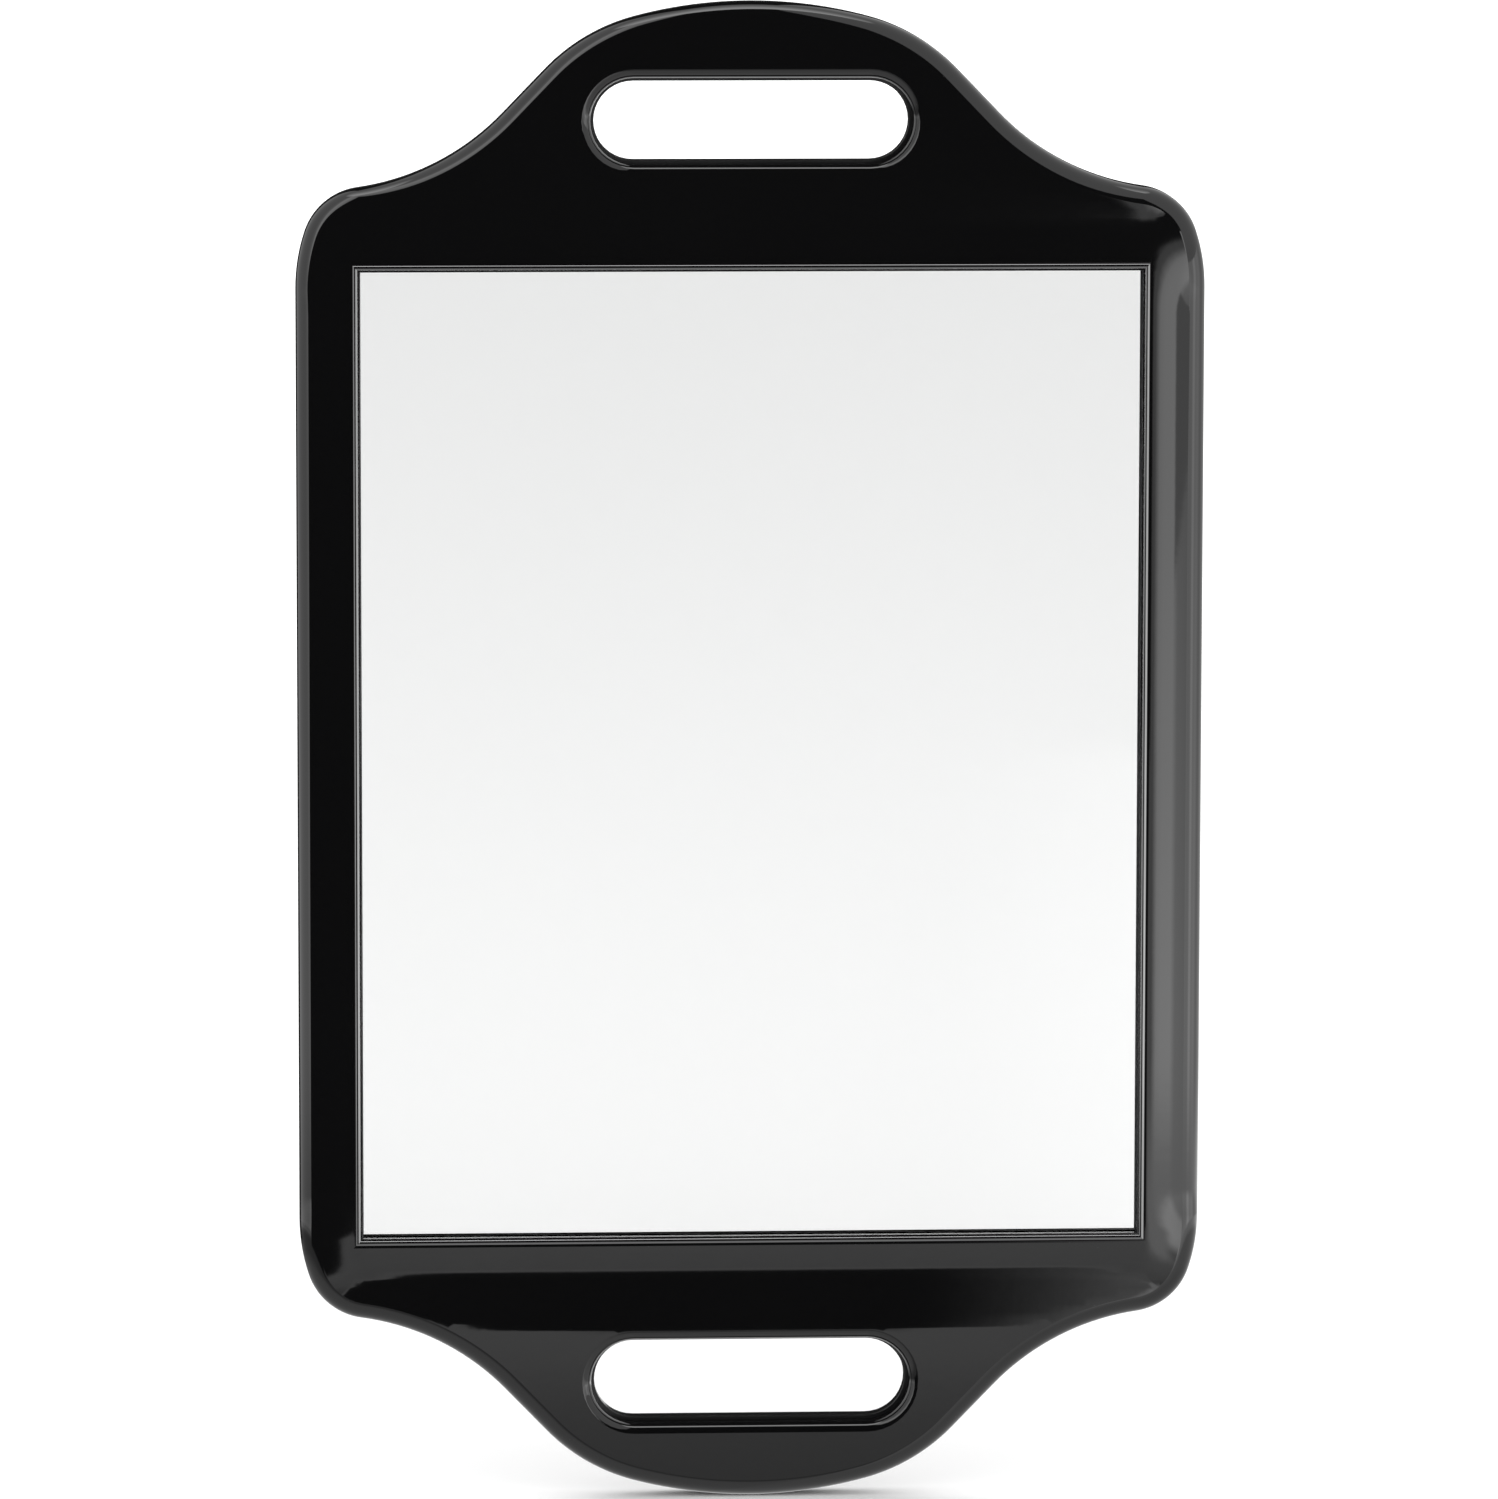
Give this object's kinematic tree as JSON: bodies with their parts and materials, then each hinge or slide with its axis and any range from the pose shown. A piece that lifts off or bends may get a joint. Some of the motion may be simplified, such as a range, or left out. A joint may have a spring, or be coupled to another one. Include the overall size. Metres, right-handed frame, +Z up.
{
  "type": "hand mirror",
  "caption": "Rectangular salon back mirror in a glossy black two-shell case with a rounded loop handle and finger slot at each end.",
  "frame": {"origin": "on the parting plane between the two shells, at the middle of the upper edge of the upper finger slot, where a hook or the fingers hold the mirror", "axes": "+Z up along the mirror's height, through both handles; +X to the right as seen from the front; the mirror faces -Y and the back faces +Y"},
  "size_m": [0.237, 0.012, 0.394],
  "materials": {
    "case_front": "high-gloss moulded black",
    "case_rear": "glossy moulded black with a fine-grained panel",
    "glass_pane": "clear float glass with ground edges",
    "silver": "silvered",
    "film": "woven-look safety film",
    "seal_foam": "closed-cell foam tape",
    "backing_foam": "closed-cell foam",
    "screw_steel": "zinc plated"
  },
  "bodies": {
    "root": {"front_frame": "case_front", "rear_cover": "case_rear", "mirror_glass": "glass_pane", "silver_coating": "silver", "safety_film": "film", "seal_strip_top": "seal_foam", "seal_strip_bottom": "seal_foam", "seal_strip_left": "seal_foam", "seal_strip_right": "seal_foam", "backing_strip_left": "backing_foam", "backing_strip_center": "backing_foam", "backing_strip_right": "backing_foam", "upper_handle_screws": "screw_steel", "lower_handle_screws": "screw_steel", "left_rail_screws": "screw_steel", "right_rail_screws": "screw_steel"}
  },
  "joints": []
}
